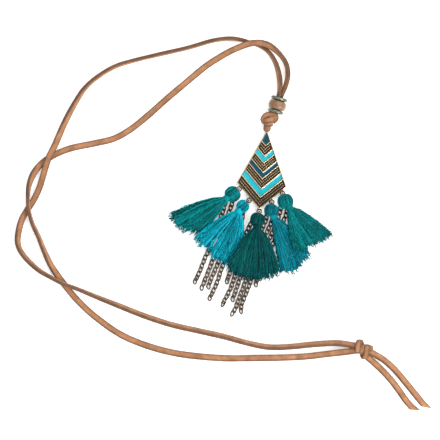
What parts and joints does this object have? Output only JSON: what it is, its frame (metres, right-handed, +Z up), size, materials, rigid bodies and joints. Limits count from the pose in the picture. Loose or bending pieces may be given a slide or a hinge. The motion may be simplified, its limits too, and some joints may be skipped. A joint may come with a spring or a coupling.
{
  "type": "tassel necklace",
  "caption": "Necklace of flat leather lace, laid flat, with an enamelled kite plate, thread tassels, short curb chains and a wooden bead between two rings.",
  "frame": {"origin": "on the kite plate's back face, at the middle of the plate's widest line", "axes": "+Z up from the surface that the necklace lies on; +Y from the plate towards the bead; +X to the right, towards the end knot"},
  "size_m": [0.2059, 0.1894, 0.009],
  "materials": {
    "antique_brass": "antiqued",
    "ring_brass": "satin",
    "dark_bronze": "antiqued",
    "deep_teal_enamel": "glossy",
    "turquoise_enamel": "glossy",
    "dark_teal_thread": "fine thread",
    "bright_teal_thread": "fine thread",
    "verdigris_patina": "verdigris",
    "pale_wood": "smooth",
    "leather_lace": "suede"
  },
  "bodies": {
    "root": {"pendant_plate": "antique_brass", "enamel_drop": "deep_teal_enamel", "enamel_chevron_1": "turquoise_enamel", "enamel_chevron_2": "deep_teal_enamel", "enamel_chevron_3": "turquoise_enamel", "jump_ring_1": "ring_brass", "jump_ring_2": "ring_brass", "jump_ring_3": "ring_brass", "jump_ring_4": "ring_brass", "jump_ring_5": "ring_brass", "tassel_1": "dark_teal_thread", "tassel_2": "bright_teal_thread", "tassel_3": "dark_teal_thread", "tassel_4": "bright_teal_thread", "tassel_5": "dark_teal_thread", "chain_1": "dark_bronze", "chain_2": "dark_bronze", "chain_3": "dark_bronze", "chain_4": "dark_bronze", "chain_5": "dark_bronze", "chain_6": "dark_bronze", "chain_7": "dark_bronze", "chain_8": "dark_bronze", "chain_9": "dark_bronze", "chain_10": "dark_bronze", "pendant_knot": "leather_lace", "lower_ring": "verdigris_patina", "bead": "pale_wood", "upper_ring": "verdigris_patina", "lace_left": "leather_lace", "lace_right": "leather_lace", "end_knot": "leather_lace", "tail_upper": "leather_lace", "tail_lower": "leather_lace"}
  },
  "joints": []
}
